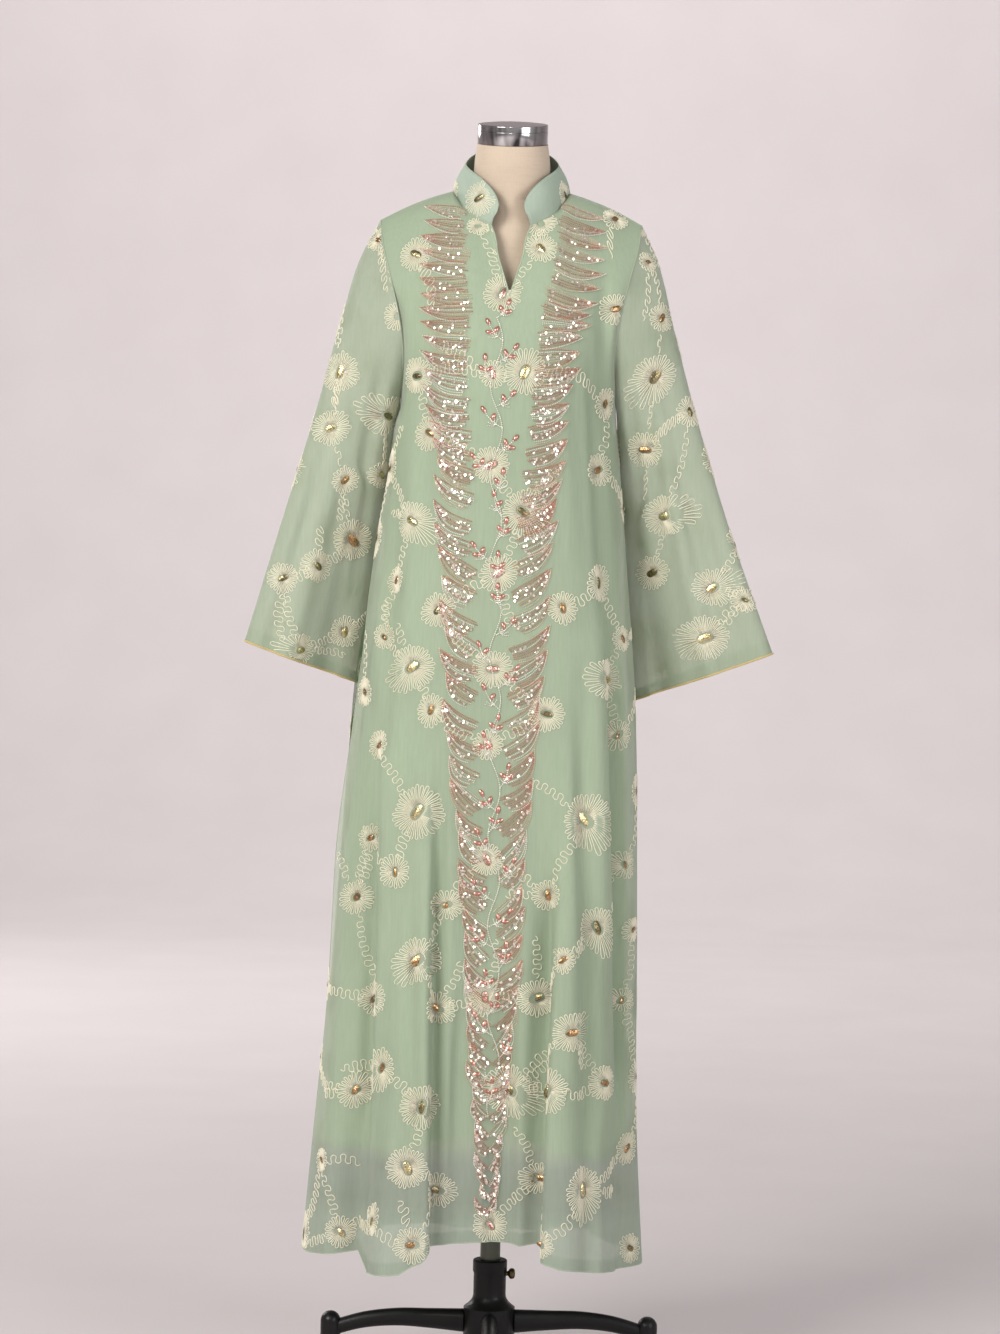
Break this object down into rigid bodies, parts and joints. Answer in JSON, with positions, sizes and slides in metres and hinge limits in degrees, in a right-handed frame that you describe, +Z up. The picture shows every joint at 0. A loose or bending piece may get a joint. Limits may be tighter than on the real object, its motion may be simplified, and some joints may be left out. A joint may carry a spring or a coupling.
{
  "type": "chiffon abaya on a dress form with a stand",
  "caption": "Mint chiffon abaya with wide sleeves, stand collar and green lining, worn by a limbless dress form with a chrome neck cap on a black cast stand.",
  "frame": {"origin": "floor point under the pole's axis", "axes": "+Z up along the pole; -Y is the front of the garment; +X is the wearer's left, at the right of the picture"},
  "size_m": [0.74, 0.477, 1.78],
  "materials": {
    "chiffon": "sheer crinkled chiffon",
    "lining": "plain woven lining",
    "gold": "metallic thread edging",
    "linen": "linen over a padded body",
    "chrome": "polished",
    "steel": "satin",
    "iron": "black gloss enamel",
    "bronze": "dark, knurled"
  },
  "bodies": {
    "stand": {"stand_hub": "iron", "leg_left": "iron", "leg_back": "iron", "leg_right": "iron", "leg_front": "iron"},
    "pole": {"pole": "steel"},
    "figure": {"form_torso": "linen", "neck_cap": "chrome", "dress_front": "chiffon", "dress_back": "chiffon", "lining_front": "lining", "lining_back": "lining", "sleeve_right": "chiffon", "sleeve_left": "chiffon", "cuff_edge_right": "gold", "cuff_edge_left": "gold", "collar": "chiffon"},
    "thumb_screw": {"thumb_screw": "bronze"}
  },
  "joints": [
    {"name": "height_slide", "type": "slide", "parent": "stand", "child": "pole", "axis": [0, 0, 1], "range_m": [0, 0.05]},
    {"name": "form_swivel", "type": "hinge", "parent": "pole", "child": "figure", "pos_m": [0, 0, 0.9], "axis": [0, 0, 1], "continuous": true},
    {"name": "screw_turn", "type": "hinge", "parent": "stand", "child": "thumb_screw", "pos_m": [0.02, 0, 0.162], "axis": [1, 0, 0], "continuous": true}
  ]
}
